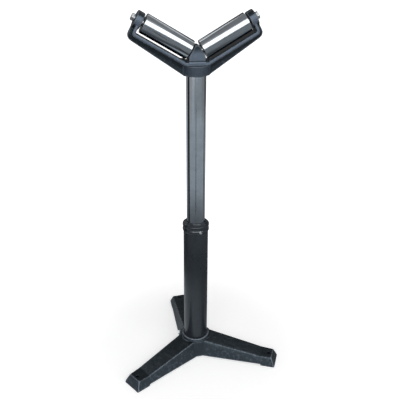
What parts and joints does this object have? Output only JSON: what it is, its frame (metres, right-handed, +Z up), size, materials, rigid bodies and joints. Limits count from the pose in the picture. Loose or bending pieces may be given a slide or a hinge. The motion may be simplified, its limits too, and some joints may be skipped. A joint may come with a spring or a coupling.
{
  "type": "v roller stand",
  "caption": "Height-adjustable stand on a three-leg cast base, with a swivelling V yoke whose free-turning steel rollers carry pipe or bar.",
  "frame": {"origin": "on the column's axis at the level of the floor", "axes": "+Z up along the column; the rollers lie in the XZ plane, the right one towards +X; -Y is the side that faces the viewer"},
  "size_m": [0.4602, 0.4122, 0.9819],
  "materials": {
    "cast_enamel": "dark blue-grey enamel over a sand-cast surface",
    "tube_enamel": "smooth dark grey enamel, satin",
    "ground_steel": "ground and polished steel",
    "bearing_steel": "turned and pressed steel",
    "zinc_steel": "bright zinc-plated steel",
    "brass": "turned brass",
    "bronze": "oiled bronze",
    "nylon": "natural nylon"
  },
  "bodies": {
    "base": {"base_casting": "cast_enamel", "upright_tube": "tube_enamel", "guide_collar": "tube_enamel", "hub_bolt": "zinc_steel"},
    "lock_pad": {"lock_pad": "brass"},
    "lock_screw": {"lock_screw": "zinc_steel"},
    "column": {"column": "ground_steel", "column_guide_ring": "nylon", "guide_ring_pin": "zinc_steel"},
    "head": {"yoke_casting": "cast_enamel", "thrust_washer": "bronze", "yoke_keeper_screw": "zinc_steel", "left_axle_bolt": "zinc_steel", "left_axle_washer": "zinc_steel", "left_inner_spacer": "bearing_steel", "left_outer_spacer": "bearing_steel", "left_inner_bearing_cone": "bearing_steel", "left_outer_bearing_cone": "bearing_steel", "right_axle_bolt": "zinc_steel", "right_axle_washer": "zinc_steel", "right_inner_spacer": "bearing_steel", "right_outer_spacer": "bearing_steel", "right_inner_bearing_cone": "bearing_steel", "right_outer_bearing_cone": "bearing_steel"},
    "left_roller": {"left_roller_shell": "ground_steel", "left_inner_bearing_housing": "bearing_steel", "left_inner_bearing_cup": "bearing_steel", "left_inner_ball_cage": "bearing_steel", "left_inner_bearing_shield": "bearing_steel", "left_outer_bearing_housing": "bearing_steel", "left_outer_bearing_cup": "bearing_steel", "left_outer_ball_cage": "bearing_steel", "left_outer_bearing_shield": "bearing_steel"},
    "right_roller": {"right_roller_shell": "ground_steel", "right_inner_bearing_housing": "bearing_steel", "right_inner_bearing_cup": "bearing_steel", "right_inner_ball_cage": "bearing_steel", "right_inner_bearing_shield": "bearing_steel", "right_outer_bearing_housing": "bearing_steel", "right_outer_bearing_cup": "bearing_steel", "right_outer_ball_cage": "bearing_steel", "right_outer_bearing_shield": "bearing_steel"}
  },
  "joints": [
    {"name": "height", "type": "slide", "parent": "base", "child": "column", "axis": [0, 0, 1], "range_m": [-0.37, 0]},
    {"name": "head_swivel", "type": "hinge", "parent": "column", "child": "head", "pos_m": [0, 0, 0.8525], "axis": [0, 0, 1], "continuous": true},
    {"name": "left_roller_spin", "type": "hinge", "parent": "head", "child": "left_roller", "pos_m": [0, 0, 0.882], "axis": [-0.866, 0, 0.5], "continuous": true},
    {"name": "right_roller_spin", "type": "hinge", "parent": "head", "child": "right_roller", "pos_m": [0, 0, 0.882], "axis": [0.866, 0, 0.5], "continuous": true},
    {"name": "lock_feed", "type": "slide", "parent": "base", "child": "lock_pad", "axis": [0.1994, -0.9799, 0], "range_m": [0, 0.00125]},
    {"name": "lock_screw_turn", "type": "hinge", "parent": "lock_pad", "child": "lock_screw", "pos_m": [0, 0, 0.414], "axis": [0.1994, -0.9799, 0], "range_deg": [-90, 540]}
  ],
  "couplings": [
    {"joint": "lock_screw_turn", "follows": "lock_feed", "rad_per_m": 5026.5}
  ]
}
